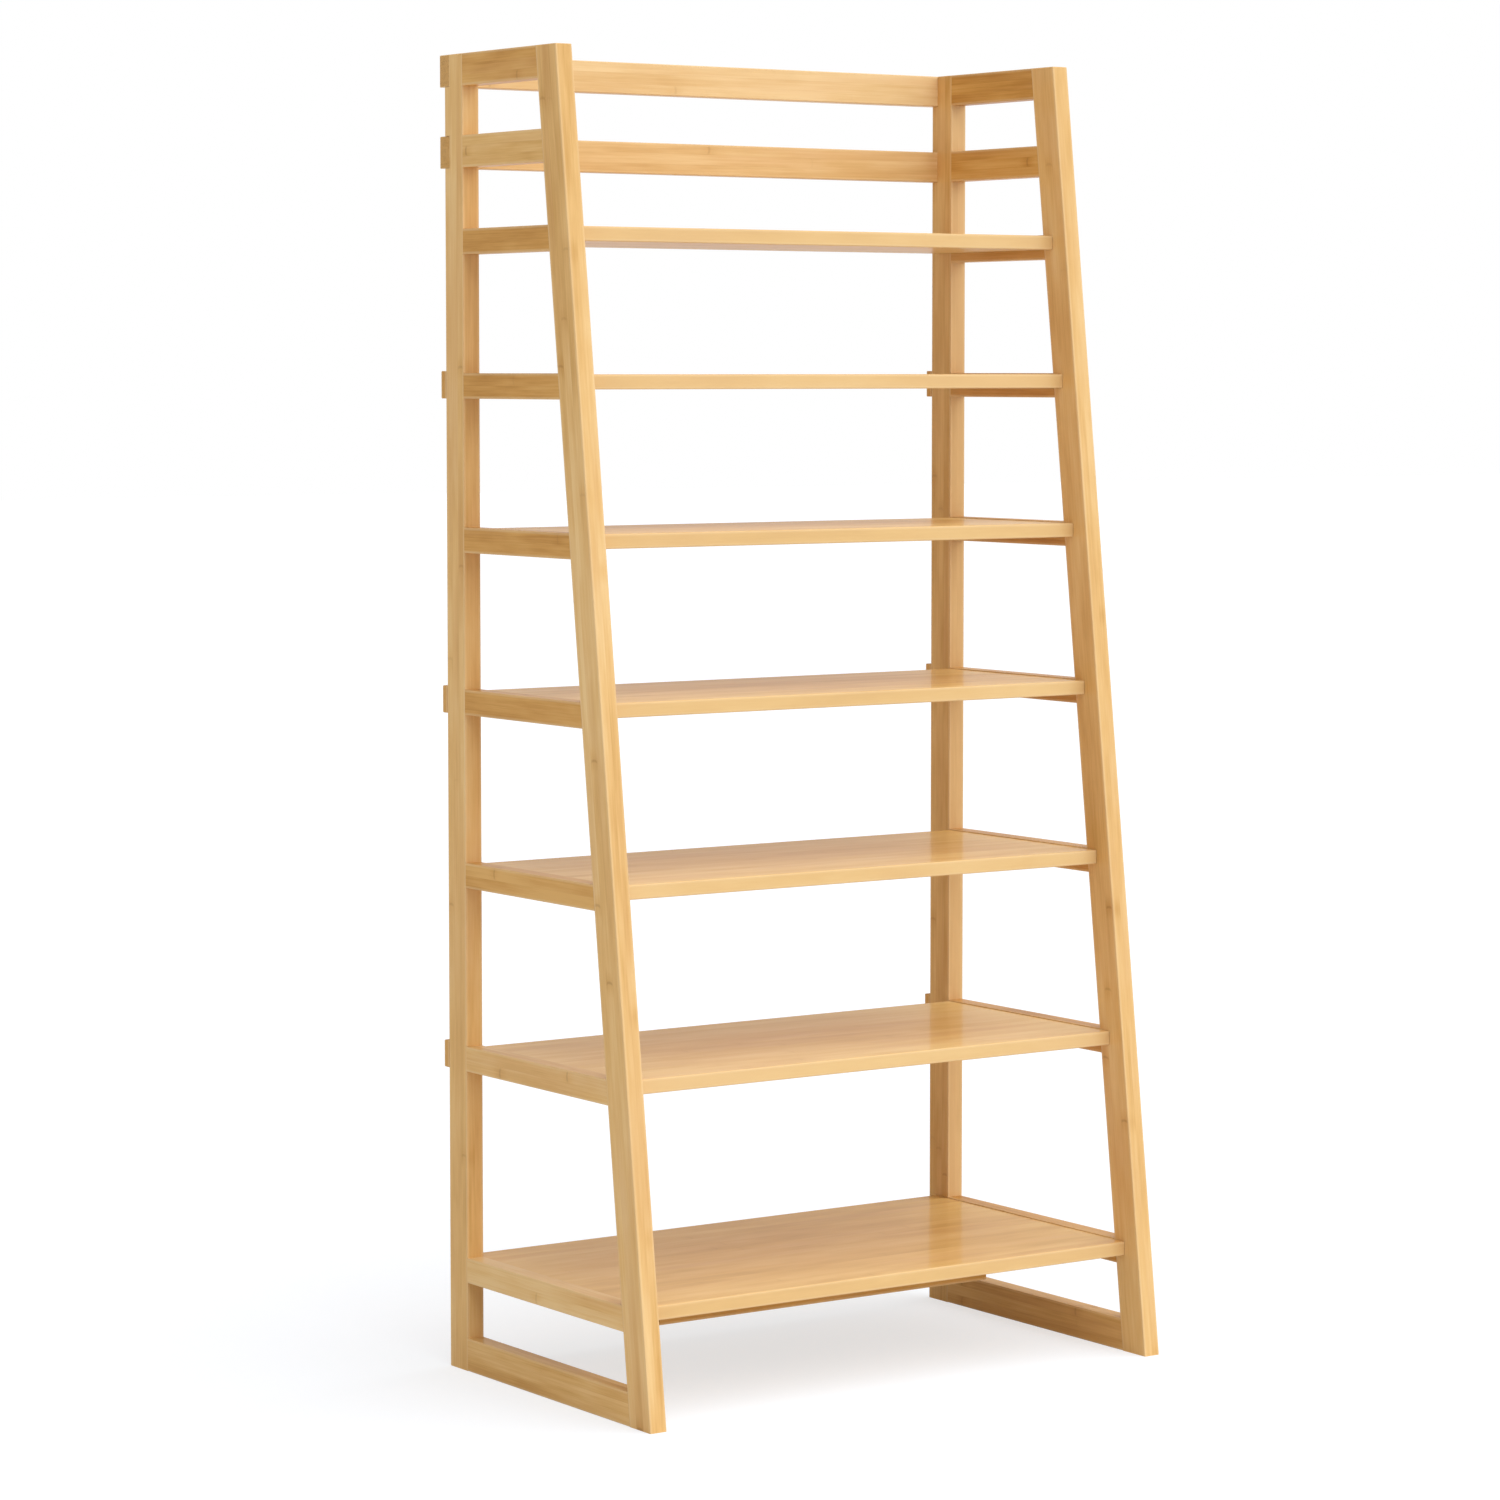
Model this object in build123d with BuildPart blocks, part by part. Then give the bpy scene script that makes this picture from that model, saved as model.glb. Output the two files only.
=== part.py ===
"""Ladder shelf: two raked side frames, seven boards, two rear rails.

Millimetres. +X is the shelf's right as seen from the front, -Y is the front, +Z is up.
The origin is on the floor, under the middle of the shelf's box.
"""

import math
import os

from build123d import *

# Side frames: a plumb rear post and a raked front post, joined by crosspieces
HEIGHT = 1830.0
WIDTH = 866.0
BASE_DEPTH = 512.0
TOP_DEPTH = 287.0
STOCK = 26.0
REAR_POST_DEPTH = 47.0
FRONT_POST_DEPTH = 50.0
RAIL_HEIGHT = 44.0
BEARER_HEIGHT = 35.0
FOOT_RAIL_HEIGHT = 46.0
ARRIS = 1.5
JOINT_ARRIS = 0.4
END_BEVEL = 1.0

# Heights: the gallery rail and the boards down from the top, the bottom board up from the floor
GALLERY_DROP = 111.5
TOP_SHELF_DROP = 241.0
SHELF_PITCHES = (198.0, 212.5, 224.5, 241.0, 257.0)
BOTTOM_SHELF_TOP = 158.0

# Boards, which end just short of the frames and are set back from the front posts
SHELF_THICKNESS = 20.0
SHELF_END_GAP = 0.6
SHELF_SETBACK = 29.0
SHELF_ARRIS = 2.0
BEARER_PROUD = 1.5
END_SHELF_REACH = 33.0

# Mortise and tenon joints of the side frames
TENON_LENGTH = 18.0
TENON_THICKNESS = 10.0
TENON_SHOULDER = 6.0
TENON_FIT = 0.2

# Rear rails, half let into the rear posts, and the spacers that stand as proud as they do
RAIL_THICKNESS = 26.0
LAP_DEPTH = 13.0
LAP_FIT = 0.2
SPACER_HEIGHT = 38.0

# Stiffener on edge under the bottom board, its upper edge in a groove
STIFFENER_DROP = 47.0
STIFFENER_THICKNESS = 20.0
STIFFENER_INSET = 160.0
STIFFENER_END = 125.0
STIFFENER_GROOVE = 5.0
STIFFENER_FIT = 0.2

# Countersunk wood screws of the rear rails
SCREW_RADIUS = 2.2
SCREW_HEAD_RADIUS = 4.4
SCREW_HEAD_ANGLE = 90.0
SCREW_FIT = 0.15
SCREW_TIP = 4.0
SCREW_TIP_ROOM = 2.0
DRIVE_LENGTH = 4.0
DRIVE_WIDTH = 0.9
DRIVE_DEPTH = 1.6

# Loose tongues, half in the end of a board and half in its bearer
TONGUE_WIDTH = 40.0
TONGUE_THICKNESS = 8.0
TONGUE_BITE = 14.0
TONGUE_INSET = 20.0
TONGUE_FIT = 0.2

SIDES = {"left": -1, "right": 1}

# Places worked out from the sizes above
GALLERY_TOP = HEIGHT - GALLERY_DROP
SHELF_TOPS = [HEIGHT - TOP_SHELF_DROP]
for pitch in SHELF_PITCHES:
    SHELF_TOPS.append(SHELF_TOPS[-1] - pitch)
SHELF_TOPS.append(BOTTOM_SHELF_TOP)
BOTTOM_SHELF = len(SHELF_TOPS)
SPACER_SHELVES = range(2, BOTTOM_SHELF, 2)
RAIL_PROUD = RAIL_THICKNESS - LAP_DEPTH
REAR_FACE = (BASE_DEPTH + RAIL_PROUD) / 2 - RAIL_PROUD
REAR_SHOULDER = REAR_FACE - REAR_POST_DEPTH
RAIL_FRONT = REAR_FACE - LAP_DEPTH
RAIL_BACK = REAR_FACE + RAIL_PROUD
RAKE = (BASE_DEPTH - TOP_DEPTH) / HEIGHT
INNER_FACE = WIDTH / 2 - STOCK
FRAME_MIDDLE = WIDTH / 2 - STOCK / 2
SHELF_END = INNER_FACE - SHELF_END_GAP
MORTISE_WIDTH = TENON_THICKNESS + 2 * TENON_FIT
SCREW_BITE = REAR_POST_DEPTH - LAP_DEPTH - TENON_LENGTH - SCREW_TIP_ROOM
SCREW_LENGTH = RAIL_THICKNESS + SCREW_BITE
SCREW_HEAD_DEPTH = (SCREW_HEAD_RADIUS - SCREW_RADIUS) / math.tan(math.radians(SCREW_HEAD_ANGLE / 2))
STIFFENER_LENGTH = 2 * (SHELF_END - STIFFENER_END)
STIFFENER_BOTTOM = BOTTOM_SHELF_TOP - SHELF_THICKNESS - STIFFENER_DROP
TONGUE_LENGTH = 2 * TONGUE_BITE + SHELF_END_GAP
RAIL_TOPS = {"rear_top_rail": HEIGHT, "rear_gallery_rail": GALLERY_TOP}

os.makedirs("parts", exist_ok=True)


def write(builder, name):
    """Label a finished piece and save it under its own name."""
    builder.part.label = name
    export_step(builder.part, f"parts/{name}.step")


def post_front(z):
    """Front face of the raked front post at height z."""
    return REAR_FACE - BASE_DEPTH + RAKE * z


def front_shoulder(z):
    """Rear face of the front post at height z, where the crosspieces end."""
    return post_front(z) + FRONT_POST_DEPTH


def crosspieces():
    """Name, underside and height of every crosspiece of one side frame, from the top down."""
    pieces = [("top_rail", HEIGHT - RAIL_HEIGHT, RAIL_HEIGHT)]
    pieces.append(("gallery_rail", GALLERY_TOP - RAIL_HEIGHT, RAIL_HEIGHT))
    for number, top in enumerate(SHELF_TOPS, start=1):
        pieces.append((f"bearer_{number}", top + BEARER_PROUD - BEARER_HEIGHT, BEARER_HEIGHT))
    pieces.append(("foot_rail", 0.0, FOOT_RAIL_HEIGHT))
    return pieces


def shelf_front(number):
    """Front edge of a board, set back from the post face at the board's mid-height."""
    return post_front(shelf_level(number)) + SHELF_SETBACK


def shelf_back(number):
    """Rear edge of a board: in line with the rear posts' front faces, or between the posts at each end."""
    return REAR_SHOULDER + (END_SHELF_REACH if number in (1, BOTTOM_SHELF) else 0.0)


def shelf_level(number):
    """Mid-height of a board, where its tongues are."""
    return SHELF_TOPS[number - 1] - SHELF_THICKNESS / 2


def tongue_seats(number, side):
    """Places of the two tongues at one end of a board, on its bearer's inner face and facing the board."""
    front = front_shoulder(shelf_level(number)) + TONGUE_INSET + TONGUE_WIDTH / 2
    rear = REAR_SHOULDER - TONGUE_INSET - TONGUE_WIDTH / 2
    return [
        Plane(origin=(side * INNER_FACE, y, shelf_level(number)), x_dir=(0, 1, 0), z_dir=(-side, 0, 0))
        for y in (front, rear)
    ]


def cut_tongue_slots(depth):
    """Cut a slot for a tongue at the places in force, as deep on both sides of the place."""
    width = TONGUE_WIDTH + 2 * TONGUE_FIT
    Box(width, TONGUE_THICKNESS + 2 * TONGUE_FIT, 2 * depth, mode=Mode.SUBTRACT)


def tenon_outline(low, high, fit=0.0):
    """Side outline of a crosspiece's two tenons with the body between, or of the mortises for them."""
    bottom = low + TENON_SHOULDER - fit
    top = high - TENON_SHOULDER + fit
    reach = TENON_LENGTH + fit
    return [
        (REAR_SHOULDER + reach, bottom),
        (REAR_SHOULDER + reach, top),
        (front_shoulder(top) - reach, top),
        (front_shoulder(bottom) - reach, bottom),
    ]


def rear_seat(side, y, z):
    """A place in the middle of a rear post's width, facing back."""
    return Plane(origin=(side * FRAME_MIDDLE, y, z), x_dir=(-1, 0, 0), z_dir=(0, 1, 0))


def rail_screw_seats(side, y):
    """Places of one side's rear rail screws, one to a rail end."""
    return [rear_seat(side, y, rail_top - RAIL_HEIGHT / 2) for rail_top in RAIL_TOPS.values()]


def spacer_seats(side):
    """Places of one side's spacers, each level with the underside of the bearer it stands behind."""
    undersides = [SHELF_TOPS[number - 1] + BEARER_PROUD - BEARER_HEIGHT for number in SPACER_SHELVES]
    return [rear_seat(side, REAR_FACE, underside + SPACER_HEIGHT / 2) for underside in undersides]


def stiffener_plane(z):
    """A level plane under the bottom board, centred on the stiffener."""
    middle = shelf_front(BOTTOM_SHELF) + STIFFENER_INSET + STIFFENER_THICKNESS / 2
    return Plane(origin=(0, middle, z))


# Posts: plumb at the rear and raked at the front, mortised for every crosspiece
POST_OUTLINES = {
    "rear_post": [
        (REAR_SHOULDER, 0),
        (REAR_FACE, 0),
        (REAR_FACE, HEIGHT),
        (REAR_SHOULDER, HEIGHT),
    ],
    "front_post": [
        (post_front(0), 0),
        (front_shoulder(0), 0),
        (front_shoulder(HEIGHT), HEIGHT),
        (post_front(HEIGHT), HEIGHT),
    ],
}

for side_name, side in SIDES.items():
    for post_name, outline in POST_OUTLINES.items():
        with BuildPart() as post:
            with BuildSketch(Plane.YZ.offset(side * FRAME_MIDDLE - STOCK / 2)):
                with BuildLine():
                    Polyline(*outline, close=True)
                make_face()
            extrude(amount=STOCK)
            chamfer(post.faces().sort_by(Axis.Z)[-1].edges(), END_BEVEL)
            for arris, open_side in ((JOINT_ARRIS, False), (ARRIS, True)):
                long_edges = post.edges().filter_by(lambda edge: edge.length > HEIGHT / 2)
                fore_and_aft = long_edges.sort_by(Axis.Y)
                fillet(fore_and_aft[-2:] if open_side == (post_name == "rear_post") else fore_and_aft[:2], arris)
            with BuildSketch(Plane.YZ.offset(side * FRAME_MIDDLE - MORTISE_WIDTH / 2)):
                for _, low, height in crosspieces():
                    with BuildLine():
                        Polyline(*tenon_outline(low, low + height, TENON_FIT), close=True)
                    make_face()
            extrude(amount=MORTISE_WIDTH, mode=Mode.SUBTRACT)
            if post_name == "rear_post":
                with BuildSketch(Plane.YZ.offset(side * FRAME_MIDDLE - STOCK / 2)):
                    for rail_top in RAIL_TOPS.values():
                        with Locations((REAR_FACE, rail_top - RAIL_HEIGHT / 2)):
                            Rectangle(2 * LAP_DEPTH, RAIL_HEIGHT + 2 * LAP_FIT)
                extrude(amount=STOCK, mode=Mode.SUBTRACT)
                with Locations(*rail_screw_seats(side, RAIL_FRONT)):
                    Hole(SCREW_RADIUS + SCREW_FIT, depth=SCREW_BITE + SCREW_FIT)
        write(post, f"{side_name}_{post_name}")

# Crosspieces: square shoulder at the rear post, raked shoulder at the front post
for side_name, side in SIDES.items():
    for piece_name, low, height in crosspieces():
        high = low + height
        with BuildPart() as crosspiece:
            with BuildSketch(Plane.YZ.offset(side * FRAME_MIDDLE - STOCK / 2)):
                with BuildLine():
                    Polyline(
                        (front_shoulder(low), low),
                        (REAR_SHOULDER, low),
                        (REAR_SHOULDER, high),
                        (front_shoulder(high), high),
                        close=True,
                    )
                make_face()
            extrude(amount=STOCK)
            fillet(crosspiece.edges().filter_by(Axis.Y), ARRIS)
            with BuildSketch(Plane.YZ.offset(side * FRAME_MIDDLE - TENON_THICKNESS / 2)):
                with BuildLine():
                    Polyline(*tenon_outline(low, high), close=True)
                make_face()
            extrude(amount=TENON_THICKNESS)
            if piece_name.startswith("bearer"):
                with Locations(*tongue_seats(int(piece_name.split("_")[1]), side)):
                    cut_tongue_slots(TONGUE_BITE + TONGUE_FIT)
        write(crosspiece, f"{side_name}_{piece_name}")

# Rear rails: full width, screwed into their notches from behind
for rail_name, rail_top in RAIL_TOPS.items():
    with BuildPart() as rear_rail:
        with BuildSketch(Plane.XY.offset(rail_top - RAIL_HEIGHT)):
            with Locations((0, RAIL_FRONT + RAIL_THICKNESS / 2)):
                Rectangle(WIDTH, RAIL_THICKNESS)
        extrude(amount=RAIL_HEIGHT)
        chamfer(rear_rail.faces().filter_by(Axis.X).edges(), END_BEVEL)
        fillet(rear_rail.edges().filter_by(Axis.X), ARRIS)
        with Locations(*[rear_seat(side, RAIL_BACK, rail_top - RAIL_HEIGHT / 2) for side in SIDES.values()]):
            CounterSinkHole(
                SCREW_RADIUS + SCREW_FIT,
                SCREW_HEAD_RADIUS + SCREW_FIT,
                depth=RAIL_THICKNESS,
                counter_sink_angle=SCREW_HEAD_ANGLE,
            )
    write(rear_rail, rail_name)

# Spacers behind the rear posts, as proud as the rear rails
for side_name, side in SIDES.items():
    for number, seat in zip(SPACER_SHELVES, spacer_seats(side)):
        with BuildPart() as spacer:
            with BuildSketch(seat):
                Rectangle(STOCK, SPACER_HEIGHT)
            extrude(amount=RAIL_PROUD)
            chamfer(spacer.edges() - spacer.edges().group_by(Axis.Y)[0], END_BEVEL)
        write(spacer, f"{side_name}_spacer_{number}")

# Boards, slotted at the ends for the tongues, the bottom one grooved for the stiffener
for number, top in enumerate(SHELF_TOPS, start=1):
    depth = shelf_back(number) - shelf_front(number)
    with BuildPart() as shelf:
        with BuildSketch(Plane.XY.offset(top - SHELF_THICKNESS)):
            with Locations((0, shelf_front(number) + depth / 2)):
                Rectangle(2 * SHELF_END, depth)
        extrude(amount=SHELF_THICKNESS)
        fillet(shelf.edges().filter_by(Axis.X), SHELF_ARRIS)
        for side in SIDES.values():
            with Locations(*tongue_seats(number, side)):
                cut_tongue_slots(SHELF_END_GAP + TONGUE_BITE + TONGUE_FIT)
        if number == BOTTOM_SHELF:
            with BuildSketch(stiffener_plane(top - SHELF_THICKNESS)):
                Rectangle(STIFFENER_LENGTH + 2 * STIFFENER_FIT, STIFFENER_THICKNESS + 2 * STIFFENER_FIT)
            extrude(amount=STIFFENER_GROOVE + STIFFENER_FIT, mode=Mode.SUBTRACT)
    write(shelf, f"shelf_{number}")

# Stiffener, glued into its groove
with BuildPart() as stiffener:
    with BuildSketch(stiffener_plane(STIFFENER_BOTTOM)):
        Rectangle(STIFFENER_LENGTH, STIFFENER_THICKNESS)
    extrude(amount=STIFFENER_DROP + STIFFENER_GROOVE)
    fillet(stiffener.edges().filter_by(Axis.X).group_by(Axis.Z)[0], ARRIS)
write(stiffener, "bottom_shelf_stiffener")

# Tongues, two to each end of a board
with BuildPart() as tongues:
    for number in range(1, BOTTOM_SHELF + 1):
        for side in SIDES.values():
            middles = [seat.offset(SHELF_END_GAP / 2) for seat in tongue_seats(number, side)]
            with Locations(*middles):
                Box(TONGUE_WIDTH, TONGUE_THICKNESS, TONGUE_LENGTH)
write(tongues, "shelf_tongues")

# Screws of the rear rails, one to an end: a countersunk head with a cross drive, a shank and a point
with BuildPart(mode=Mode.PRIVATE) as screw:
    with BuildSketch(Plane.XZ):
        with BuildLine():
            Polyline(
                (0, 0),
                (SCREW_HEAD_RADIUS, 0),
                (SCREW_RADIUS, -SCREW_HEAD_DEPTH),
                (SCREW_RADIUS, SCREW_TIP - SCREW_LENGTH),
                (0, -SCREW_LENGTH),
                close=True,
            )
        make_face()
    revolve(axis=Axis.Z)
    with BuildSketch():
        Rectangle(DRIVE_LENGTH, DRIVE_WIDTH)
        Rectangle(DRIVE_WIDTH, DRIVE_LENGTH)
    extrude(amount=-DRIVE_DEPTH, mode=Mode.SUBTRACT)

with BuildPart() as rear_rail_screws:
    for side in SIDES.values():
        with Locations(*rail_screw_seats(side, RAIL_BACK)):
            add(screw.part)
write(rear_rail_screws, "rear_rail_screws")
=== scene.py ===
import math

import bpy
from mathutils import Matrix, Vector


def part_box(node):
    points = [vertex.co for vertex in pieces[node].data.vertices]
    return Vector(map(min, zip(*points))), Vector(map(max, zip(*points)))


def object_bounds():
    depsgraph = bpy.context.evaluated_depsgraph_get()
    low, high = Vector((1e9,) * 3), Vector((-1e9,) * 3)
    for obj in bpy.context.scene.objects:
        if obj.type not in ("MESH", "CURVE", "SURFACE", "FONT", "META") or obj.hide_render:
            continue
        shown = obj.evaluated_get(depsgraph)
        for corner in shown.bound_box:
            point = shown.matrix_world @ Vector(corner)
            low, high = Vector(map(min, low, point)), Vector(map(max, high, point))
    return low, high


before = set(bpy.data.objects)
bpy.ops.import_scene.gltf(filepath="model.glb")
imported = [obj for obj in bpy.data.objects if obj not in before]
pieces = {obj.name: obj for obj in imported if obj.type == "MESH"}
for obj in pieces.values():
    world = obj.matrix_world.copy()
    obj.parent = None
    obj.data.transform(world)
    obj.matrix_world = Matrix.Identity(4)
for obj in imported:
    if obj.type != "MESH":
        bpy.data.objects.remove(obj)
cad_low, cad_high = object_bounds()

bpy.ops.object.select_all(action="DESELECT")

# The top of a front post stands this far behind its foot, and the post is this deep from front to back.
FRONT_POST_LEAN = 0.225
FRONT_POST_DEPTH = 0.050
RAKE = FRONT_POST_LEAN / (cad_high.z - cad_low.z)

# Width of one glued strip of bamboo on the frames and on the boards.
FRAME_STRIP = 0.0155
BOARD_STRIP = 0.021

# The strips are laid out this much past the faces, so that no face lies between one strip and the next.
HAIR = 0.0001


def linear(red, green, blue):
    """A colour as a paint chart gives it, from 0 to 255, for a shader."""
    shares = [part / 255 for part in (red, green, blue)]
    return tuple(s / 12.92 if s <= 0.04045 else ((s + 0.055) / 1.055) ** 2.4 for s in shares) + (1.0,)


# Dark, middle and light tone of the lacquered bamboo, from the pale rear rails to the deeper crosspieces, and
# of the boards. The stops say where along the tone each of the three lies.
CREAM_HONEY = (linear(204, 159, 97), linear(222, 182, 124), linear(235, 201, 148))
PALE_HONEY = (linear(206, 157, 89), linear(227, 182, 116), linear(238, 201, 142))
HONEY = (linear(200, 149, 80), linear(221, 174, 105), linear(234, 193, 130))
DEEP_HONEY = (linear(185, 129, 58), linear(209, 155, 82), linear(223, 174, 103))
BOARD_HONEY = (linear(205, 156, 86), linear(223, 178, 107), linear(234, 195, 130))
TONE_STOPS = (0.16, 0.50, 0.84)

# Cream painted on the faces at the sides of the strips as a painted sheen, and on the arrises as part wear,
# part painted highlight.
WEAR_AND_SHEEN_CREAM = linear(230, 196, 146)
ROSY_TAN = linear(212, 160, 104)
KNUCKLE_BROWN = linear(146, 96, 46)
END_GRAIN_TAN = linear(206, 158, 94)
END_GRAIN_DOT = linear(140, 92, 44)
ZINC = linear(196, 197, 198)
DULL_ZINC = linear(150, 150, 150)

# How each kind of piece is laid up: which way the grain runs, where the strips lie side by side and where in
# layers, and how wide they are; then the tones, how mottled, how marked by knuckles and streaks, how much
# lacquer, and how much cream is painted on the faces at the sides of the strips as a painted sheen, which
# makes the fronts of the boards and of the right rear post paler as if lit from the front.
FRAME_WOOD = {"strip": FRAME_STRIP, "knuckles": 0.32, "streaks": 0.50, "lacquer": 0.16, "painted_side_sheen": 0.0}
POST = {**FRAME_WOOD, "along": "z", "across": "y", "through": "x", "tones": PALE_HONEY, "mottle": 1.3}
SPACER = {**FRAME_WOOD, "along": "z", "across": "x", "through": "y", "tones": DEEP_HONEY, "mottle": 1.1}
REAR_RAIL = {**FRAME_WOOD, "along": "x", "across": "z", "through": "y", "tones": CREAM_HONEY, "mottle": 1.1}
TONGUE = {**FRAME_WOOD, "along": "x", "across": "y", "through": "z", "tones": HONEY, "mottle": 1.1}
SIDE_RAIL = {
    **FRAME_WOOD,
    "along": "y",
    "across": "z",
    "through": "x",
    "tones": DEEP_HONEY,
    "mottle": 1.5,
    "knuckles": 0.45,
    "streaks": 0.70,
}
BOARD = {
    "along": "x",
    "across": "y",
    "through": "z",
    "strip": BOARD_STRIP,
    "tones": BOARD_HONEY,
    "mottle": 1.1,
    "knuckles": 0.10,
    "streaks": 0.16,
    "lacquer": 0.19,
    "painted_side_sheen": 0.42,
}

# A piece is laid up as the first row says whose word is in its name.
LAY_UP = (
    # The right rear post's front and back faces get a painted sheen, paler as if lit, while its tone is
    # darkened below as painted shade.
    ("right_rear_post", {**POST, "painted_side_sheen": 0.45}),
    ("post", POST),
    ("spacer", SPACER),
    ("rear_top_rail", REAR_RAIL),
    ("rear_gallery_rail", REAR_RAIL),
    ("stiffener", {**REAR_RAIL, "tones": DEEP_HONEY}),
    ("tongues", TONGUE),
    # The foot rails and left_bearer_7 take paler tones as painted light, against the shade they get near the
    # floor.
    ("left_bearer_6", {**SIDE_RAIL, "tones": PALE_HONEY}),
    ("left_bearer_7", {**SIDE_RAIL, "tones": PALE_HONEY}),
    ("left_gallery_rail", {**SIDE_RAIL, "tones": HONEY}),
    ("foot_rail", {**SIDE_RAIL, "tones": HONEY}),
    ("rail", SIDE_RAIL),
    ("bearer", SIDE_RAIL),
    ("shelf", BOARD),
)

# How much paler a piece is than others of its kind, as a share of the whole range of tone. Some shifts are
# painted light: left_bearer_7 is made paler against the shade it gets low down by the floor, rear_top_rail
# paler as a painted pool of light, and right_rear_post and right_top_rail darker as painted shade inside the
# right frame. The others shift the tone of single pieces.
PIECE_TONE_AND_PAINTED_LIGHT = {
    "left_bearer_2": -0.12,
    "left_bearer_7": 0.30,
    "right_rear_post": -0.15,
    "right_top_rail": -0.16,
    "rear_top_rail": 0.15,
    "shelf_5": 0.10,
    "shelf_6": 0.16,
}

# Soft noise in the bamboo: how many patches to a metre along the grain and across it, how many finer layers
# of noise lie on it, and how strong those are.
BROAD_PATCH = (2.2, 13.0, 2.0, 0.5)
SMUDGE = (9.0, 44.0, 2.0, 0.5)
BLUSH = (3.0, 20.0, 2.0, 0.5)
STREAK = (7.0, 330.0, 3.0, 0.6)
FIBRE = (30.0, 1500.0, 2.0, 0.6)

# How far along the grain the noise may slide from strip to strip: a little for soft patches, so that they run
# on over the glue lines, and for fine marks so far that no two strips share them.
PATCH_SLIDE = 0.35
MARK_SLIDE = 9.0

# Steps that keep the random draws of the pieces, the layers, the knuckles and the blush apart.
PIECE_DRAW = 1.7
LAYER_DRAW = 31.0
KNUCKLE_DRAW = 0.5
BLUSH_DRAW = 40.0

# How far each mark moves the tone. The broad patches and smudges go by how mottled a kind of piece is, and
# the shade round a knuckle by how marked it is.
STRIP_TONE = 0.10
BROAD_TONE = 0.8
SMUDGE_TONE = 0.5
FIBRE_TONE = 0.30
SHADE_TONE = 0.6

# Knuckles of the cane: metres from one to the next in a strip, how much more some have, how far they bow, and
# where the line, its ends at the sides of a strip and the shade round it fade; then which draws show one.
KNUCKLE_SPACING = 0.24
KNUCKLE_SPREAD = 0.12
KNUCKLE_BOW = 0.0025
KNUCKLE_LINE = (0.0030, 0.0004)
KNUCKLE_ENDS = (1.0, 0.25)
KNUCKLE_SHADE = (0.022, 0.0)
KNUCKLE_SHOWS = (0.45, 1.0)

# Where the blush, the glue line as a share of a strip, the arrises in metres, the turn from one face to the
# next and the pores fade, and how much of its colour each brings.
BLUSH_FADE = (0.46, 0.72)
BLUSH_SHARE = 0.3
GLUE_FADE = (0.016, 0.0)
GLUE_SHARE = 0.14
ARRIS_FADE = (0.0045, 0.0015)
ARRIS_WEAR_AND_HIGHLIGHT = 0.30
ARRIS_WEAR_AND_HIGHLIGHT_STREAK = 0.35
FACE_FADE = (0.80, 0.92)
PORE_FADE = (0.42, 0.16)
PORES_ACROSS = 620.0
PORES_ALONG = 4.0
END_GRAIN_SHARE = 0.85

# Height of each mark in the relief of the wood, and how strong and how many metres deep the relief is.
FIBRE_RELIEF = 0.5
STREAK_RELIEF = 0.35
KNUCKLE_RELIEF = 0.6
GLUE_RELIEF = 0.5
RELIEF_STRENGTH = 0.12
RELIEF_DEPTH = 0.0004

# Roughness of the wood and what each mark adds to it. Its gloss comes almost only from the lacquer, and the
# end grain drinks up part of that.
WOOD_ROUGHNESS = 0.44
STREAK_ROUGHNESS = 0.16
FIBRE_ROUGHNESS = 0.12
ARRIS_ROUGHNESS = 0.08
END_ROUGHNESS = 0.2
WOOD_GLOSS = 0.04
LACQUER_ROUGHNESS = 0.12
LACQUER_LOST = 0.6

# Zinc of the screws: scratches to a metre along and across, dull clouds to a metre, relief and roughness.
SCRATCH_ALONG = 900.0
SCRATCH_ACROSS = 7000.0
SCRATCH_DETAIL = 3.0
DULL_CLOUDS = 240.0
DULL_FADE = (0.3, 0.7)
SCRATCH_STRENGTH = 0.1
SCRATCH_DEPTH = 0.0001
ZINC_ROUGHNESS = 0.28
SCRATCH_ROUGHNESS = 0.2

# Floor and light. The floor glows for the eye only, just enough to be white where no shadow falls.
FLOOR_SIZE = 80
FLOOR_SPECKS = 300.0
FLOOR_GREY = linear(232, 232, 231)
CHALK = (0.405, 0.41, 0.42, 1.0)
PALE_CHALK = (0.42, 0.425, 0.435, 1.0)
FLOOR_GLOW = (0.985, 1.0, 1.015, 1.0)
GLOW_STRENGTH = 0.63
WHITE = (1.0, 1.0, 1.0, 1.0)
ROOM_STRENGTH = 0.42
COOL_LIGHT = (0.96, 1.0, 1.06)
WARM_LIGHT = (1.0, 0.98, 0.94)

# Camera of the photograph: place in metres, degrees turned to the right and dipped, lens and film in
# millimetres, and the lens's shift as a share of the picture.
CAMERA_PLACE = (-3.7053, -5.2431, 1.3957)
CAMERA_TURN = 34.564
CAMERA_DIP = 4.161
CAMERA_LENS = 110.22
CAMERA_FILM = 36
CAMERA_SHIFT = -0.03
CAMERA_REACH = 200


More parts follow.
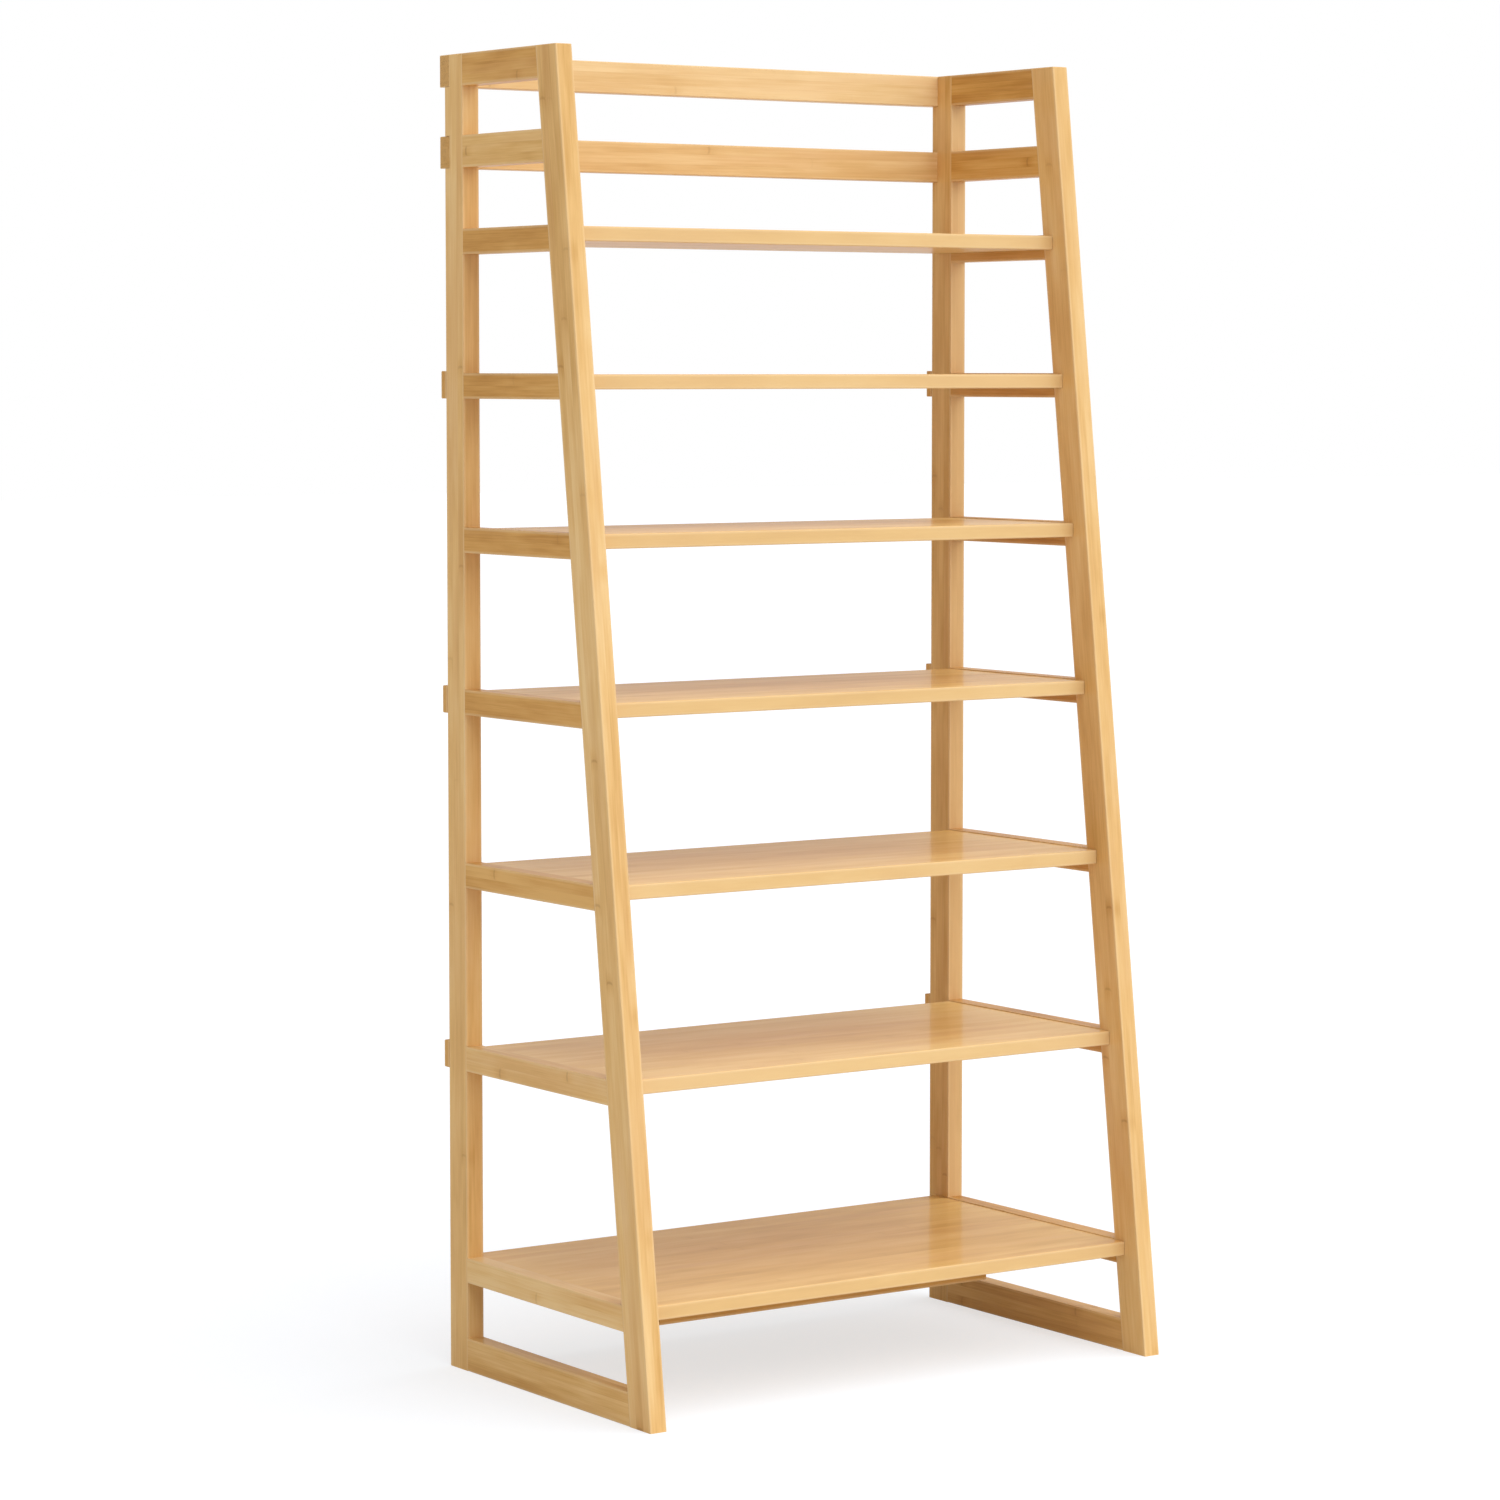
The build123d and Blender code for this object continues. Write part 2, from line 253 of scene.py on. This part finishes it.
class Wire:
    """A value, colour or vector in a material. Sums written with it become Math nodes."""

    def __init__(self, finish, socket):
        self.finish = finish
        self.socket = socket

    def other(self, output):
        """Another output of the same node."""
        return Wire(self.finish, self.socket.node.outputs[output])

    def sum(self, operation, *values):
        return self.finish.node("ShaderNodeMath", {"operation": operation}, dict(enumerate(values)))

    def __add__(self, other):
        return self.sum("ADD", self, other)

    def __radd__(self, other):
        return self.sum("ADD", other, self)

    def __sub__(self, other):
        return self.sum("SUBTRACT", self, other)

    def __rsub__(self, other):
        return self.sum("SUBTRACT", other, self)

    def __mul__(self, other):
        return self.sum("MULTIPLY", self, other)

    def __rmul__(self, other):
        return self.sum("MULTIPLY", other, self)

    def __truediv__(self, other):
        return self.sum("DIVIDE", self, other)

    def __rtruediv__(self, other):
        return self.sum("DIVIDE", other, self)

    def __pow__(self, other):
        return self.sum("POWER", self, other)

    def __rpow__(self, other):
        return self.sum("POWER", other, self)

    def __abs__(self):
        return self.sum("ABSOLUTE", self)

    def whole(self):
        return self.sum("FLOOR", self)

    def rest(self):
        return self.sum("FRACT", self)

    def least(self, other):
        return self.sum("MINIMUM", self, other)

    def most(self, other):
        return self.sum("MAXIMUM", self, other)

    def swing(self, share):
        """A share of how far the value is from a half, up or down."""
        return (self - 0.5) * share

    def fade(self, start, end):
        """0 at start and 1 at end, with soft ends."""
        return self.finish.node(
            "ShaderNodeMapRange",
            {"interpolation_type": "SMOOTHSTEP"},
            {"Value": self, "From Min": start, "From Max": end},
        )


class Finish:
    """A material, or the light of the room, in the making."""

    def __init__(self, owner):
        owner.use_nodes = True
        self.owner = owner
        self.tree = owner.node_tree
        self.tree.nodes.clear()

    def node(self, kind, settings=None, sockets=None, output=0):
        """A new node: first its settings, then its sockets' values or links. Gives one of its outputs."""
        made = self.tree.nodes.new(kind)
        for word, value in (settings or {}).items():
            if word == "stops":
                ramp = made.color_ramp.elements
                while len(ramp) < len(value):
                    ramp.new(1.0)
                for stop, (position, colour) in zip(ramp, value):
                    stop.position = position
                    stop.color = colour
            else:
                setattr(made, word, value)
        for key, value in (sockets or {}).items():
            if isinstance(value, Wire):
                self.tree.links.new(value.socket, made.inputs[key])
            else:
                made.inputs[key].default_value = value
        return Wire(self, made.outputs[output]) if made.outputs else None

    def place(self):
        """Where on the object a point of the surface is. Its other output Normal says which way it faces."""
        return self.node("ShaderNodeTexCoord", None, None, "Object")

    def apart(self, vector):
        """The x, y and z of a vector."""
        made = self.node("ShaderNodeSeparateXYZ", None, {"Vector": vector})
        return {"x": made, "y": made.other("Y"), "z": made.other("Z")}

    def vector(self, x, y, z):
        return self.node("ShaderNodeCombineXYZ", None, {0: x, 1: y, 2: z})

    def mix(self, share, first, second):
        """Colours blended by a share."""
        return self.node("ShaderNodeMix", {"data_type": "RGBA"}, {0: share, 6: first, 7: second}, 2)

    def draw(self, x, y, z):
        """A fixed random number from 0 to 1 for each x, y and z."""
        cell = self.vector(x, y, z)
        return self.node("ShaderNodeTexWhiteNoise", {"noise_dimensions": "3D"}, {"Vector": cell})

    def cloud(self, x, y, z, detail=2.0, rough=0.5):
        """Soft noise about a half, stretched by the scales already in x, y and z."""
        return self.node(
            "ShaderNodeTexNoise",
            None,
            {"Vector": self.vector(x, y, z), "Scale": 1.0, "Detail": detail, "Roughness": rough},
        )

    def seen(self):
        """1 where the eye looks, directly, in a gloss or through glass, and 0 for light that bounces."""
        path = self.node("ShaderNodeLightPath", None, None, "Is Camera Ray")
        return path.most(path.other("Is Glossy Ray")).most(path.other("Is Transmission Ray"))

    def done(self, shader, kind="ShaderNodeOutputMaterial"):
        self.node(kind, None, {"Surface": shader})
        return self.owner


class Bamboo(Finish):
    """Bamboo strips glued side by side and in layers, with the grain along one axis of the piece."""

    def __init__(self, name, seed, along, across, through, strip):
        super().__init__(bpy.data.materials.new(name + "_bamboo"))
        low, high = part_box(name)
        place = self.place()
        axes = self.apart(place)
        if name.endswith("front_post"):
            high.y = low.y + FRONT_POST_DEPTH
            axes["y"] = axes["y"] - axes["z"] * RAKE
        self.seed = seed
        self.width = getattr(high, across) - getattr(low, across) + 2 * HAIR
        self.thickness = getattr(high, through) - getattr(low, through) + 2 * HAIR
        self.run = axes[along]
        self.side = axes[across] - (getattr(low, across) - HAIR)
        self.depth = axes[through] - (getattr(low, through) - HAIR)

        strips = max(1, round(self.width / strip))
        layers = max(1, round(self.thickness / strip))
        self.lane = self.side * (strips / self.width)
        self.strip = self.lane.whole()
        self.layer = (self.depth * (layers / self.thickness)).whole()
        self.chance = self.draw(self.strip, self.layer, seed)
        self.patch_run = self.run + self.chance * PATCH_SLIDE
        self.mark_run = self.run + self.chance * MARK_SLIDE

        facing = self.apart(place.other("Normal"))
        self.end = abs(facing[along]).fade(*FACE_FADE)
        self.edge = abs(facing[across]).fade(*FACE_FADE)

    def noise(self, run, look, draw=0.0):
        """Soft noise drawn out along the grain."""
        along, across, detail, rough = look
        depth = self.depth * across + (self.seed + draw)
        return self.cloud(run * along, self.side * across, depth, detail, rough)

    def knuckles(self):
        """The dark lines of the knuckles, bowed across each strip, and the shade round them."""
        spacing = KNUCKLE_SPACING + KNUCKLE_SPREAD * self.chance
        step = self.mark_run / spacing
        bow = (self.lane.rest() * 2.0 - 1.0) ** 2.0
        off = abs((step.rest() - 0.5) * spacing + bow * KNUCKLE_BOW)
        drawn = self.draw(self.strip + self.layer * LAYER_DRAW, step.whole(), self.seed + KNUCKLE_DRAW)
        shows = drawn.fade(*KNUCKLE_SHOWS)
        line = off.fade(*KNUCKLE_LINE) * bow.fade(*KNUCKLE_ENDS) * shows
        return line, off.fade(*KNUCKLE_SHADE) * shows

    def glue_lines(self):
        """1 along the joints between the strips."""
        return self.lane.rest().least(1.0 - self.lane.rest()).fade(*GLUE_FADE)

    def arrises(self):
        """1 along the long edges where two faces meet."""
        rim = self.side.least(self.width - self.side).fade(*ARRIS_FADE)
        return rim * self.depth.least(self.thickness - self.depth).fade(*ARRIS_FADE)

    def end_grain(self):
        """Colour of the cut ends, dotted with the pores of the cane."""
        spot = self.vector(self.side * PORES_ACROSS, self.depth * PORES_ACROSS, self.run * PORES_ALONG)
        pores = self.node(
            "ShaderNodeTexVoronoi",
            {"feature": "F1"},
            {"Vector": spot, "Scale": 1.0},
            "Distance",
        )
        return self.mix(pores.fade(*PORE_FADE), END_GRAIN_TAN, END_GRAIN_DOT)


def lacquered_bamboo(
    name, seed, along, across, through, strip, tones, mottle, knuckles, streaks, lacquer, painted_side_sheen
):
    """Bamboo of one piece under a thin clear lacquer."""
    wood = Bamboo(name, seed, along, across, through, strip)
    broad = wood.noise(wood.patch_run, BROAD_PATCH)
    smudge = wood.noise(wood.patch_run, SMUDGE)
    blush = wood.noise(wood.patch_run, BLUSH, BLUSH_DRAW).fade(*BLUSH_FADE)
    streak = wood.noise(wood.mark_run, STREAK)
    fibre = wood.noise(wood.mark_run, FIBRE)
    line, shade = wood.knuckles()
    glue = wood.glue_lines()
    arris = wood.arrises()

    # The shift per piece holds painted light or painted shade for a few pieces.
    tone = PIECE_TONE_AND_PAINTED_LIGHT.get(name, 0.0) + 0.5 + wood.chance.swing(STRIP_TONE)
    tone = tone + broad.swing(BROAD_TONE * mottle) + smudge.swing(SMUDGE_TONE * mottle)
    tone = tone + streak.swing(streaks) + fibre.swing(FIBRE_TONE) - shade * (SHADE_TONE * knuckles)
    stops = list(zip(TONE_STOPS, tones))
    colour = wood.node("ShaderNodeValToRGB", {"stops": stops}, {"Fac": tone})
    colour = wood.mix(blush * BLUSH_SHARE, colour, ROSY_TAN)
    colour = wood.mix(line * knuckles + glue * GLUE_SHARE, colour, KNUCKLE_BROWN)
    # Painted sheen: the faces at the sides of the strips, such as the fronts of the boards, made paler and
    # creamier as if lit from the front.
    colour = wood.mix(wood.edge * painted_side_sheen, colour, WEAR_AND_SHEEN_CREAM)
    # Paler arrises: partly worn lacquer, partly a painted highlight where the rounded edges catch the front
    # light.
    colour = wood.mix(arris * (ARRIS_WEAR_AND_HIGHLIGHT + streak * ARRIS_WEAR_AND_HIGHLIGHT_STREAK), colour, WEAR_AND_SHEEN_CREAM)
    colour = wood.mix(wood.end * END_GRAIN_SHARE, colour, wood.end_grain())

    rough = WOOD_ROUGHNESS + streak.swing(STREAK_ROUGHNESS) + fibre.swing(FIBRE_ROUGHNESS)
    relief = fibre * FIBRE_RELIEF + streak * STREAK_RELIEF - line * KNUCKLE_RELIEF - glue * GLUE_RELIEF
    bump = wood.node(
        "ShaderNodeBump",
        None,
        {"Strength": RELIEF_STRENGTH, "Distance": RELIEF_DEPTH, "Height": relief},
    )
    shader = wood.node(
        "ShaderNodeBsdfPrincipled",
        None,
        {
            "Base Color": colour,
            "Roughness": rough + arris * ARRIS_ROUGHNESS + wood.end * END_ROUGHNESS,
            "Specular IOR Level": WOOD_GLOSS,
            "Coat Weight": lacquer - wood.end * (LACQUER_LOST * lacquer),
            "Coat Roughness": LACQUER_ROUGHNESS,
            "Normal": bump,
        },
    )
    return wood.done(shader)


def zinc_steel():
    """Zinc-plated steel of the screws, with a fine satin scratch."""
    finish = Finish(bpy.data.materials.new("zinc_screws"))
    x, y, z = finish.apart(finish.place()).values()
    scratch = finish.cloud(x * SCRATCH_ALONG, y * SCRATCH_ALONG, z * SCRATCH_ACROSS, SCRATCH_DETAIL)
    dull = finish.cloud(x * DULL_CLOUDS, y * DULL_CLOUDS, z * DULL_CLOUDS).fade(*DULL_FADE)
    bump = finish.node(
        "ShaderNodeBump",
        None,
        {"Strength": SCRATCH_STRENGTH, "Distance": SCRATCH_DEPTH, "Height": scratch},
    )
    shader = finish.node(
        "ShaderNodeBsdfPrincipled",
        None,
        {
            "Base Color": finish.mix(dull, ZINC, DULL_ZINC),
            "Metallic": 1.0,
            "Roughness": ZINC_ROUGHNESS + scratch.swing(SCRATCH_ROUGHNESS),
            "Normal": bump,
        },
    )
    return finish.done(shader)


def pale_floor():
    """Pale floor that runs out of sight and keeps the shelf's soft shadow."""
    finish = Finish(bpy.data.materials.new("pale_floor"))
    at = finish.apart(finish.place())
    speck = finish.cloud(at["x"] * FLOOR_SPECKS, at["y"] * FLOOR_SPECKS, 0.0)
    matt = finish.node("ShaderNodeBsdfDiffuse", None, {"Color": FLOOR_GREY})
    paint = finish.node("ShaderNodeBsdfDiffuse", None, {"Color": finish.mix(speck, CHALK, PALE_CHALK)})
    glow = finish.node("ShaderNodeEmission", None, {"Color": FLOOR_GLOW, "Strength": GLOW_STRENGTH})
    pale = finish.node("ShaderNodeAddShader", None, {0: paint, 1: glow})
    return finish.done(finish.node("ShaderNodeMixShader", None, {0: finish.seen(), 1: matt, 2: pale}))


def white_room(strength):
    """Even pale light from all round, and a white backdrop."""
    finish = Finish(bpy.data.worlds.new("white_room"))
    level = strength + finish.seen() * (1.0 - strength)
    light = finish.node("ShaderNodeBackground", None, {"Color": WHITE, "Strength": level})
    return finish.done(light, "ShaderNodeOutputWorld")


def lamp(name, strength, heading, height, softness, colour):
    """A broad soft lamp far off. Heading, from the front round to the right, and height are in degrees."""
    bpy.ops.object.light_add(type="SUN", rotation=(math.radians(90 - height), 0, math.radians(heading)))
    made = bpy.context.object
    made.name = name
    made.data.energy = strength * math.pi
    made.data.angle = math.radians(softness)
    made.data.color = colour


for count, name in enumerate(sorted(pieces)):
    if name == "rear_rail_screws":
        finish = zinc_steel()
    else:
        lay = next(lay for word, lay in LAY_UP if word in name)
        finish = lacquered_bamboo(name, count * PIECE_DRAW, **lay)
    pieces[name].material_slots[0].material = finish

bpy.ops.mesh.primitive_plane_add(size=FLOOR_SIZE)
floor = bpy.context.object
floor.name = "studio_floor"
floor.data.materials.append(pale_floor())

bpy.context.scene.world = white_room(ROOM_STRENGTH)
lamp("front_lamp", strength=0.90, heading=32, height=47, softness=95, colour=COOL_LIGHT)
lamp("left_lamp", strength=0.11, heading=-75, height=20, softness=80, colour=WARM_LIGHT)

bpy.ops.object.camera_add(
    location=CAMERA_PLACE,
    rotation=(math.radians(90 - CAMERA_DIP), 0, math.radians(-CAMERA_TURN)),
)
camera = bpy.context.object
camera.name = "photo_camera"
camera.data.sensor_width = CAMERA_FILM
camera.data.lens = CAMERA_LENS
camera.data.shift_y = CAMERA_SHIFT
camera.data.clip_end = CAMERA_REACH
bpy.context.scene.camera = camera
bpy.context.scene.view_settings.view_transform = "Standard"
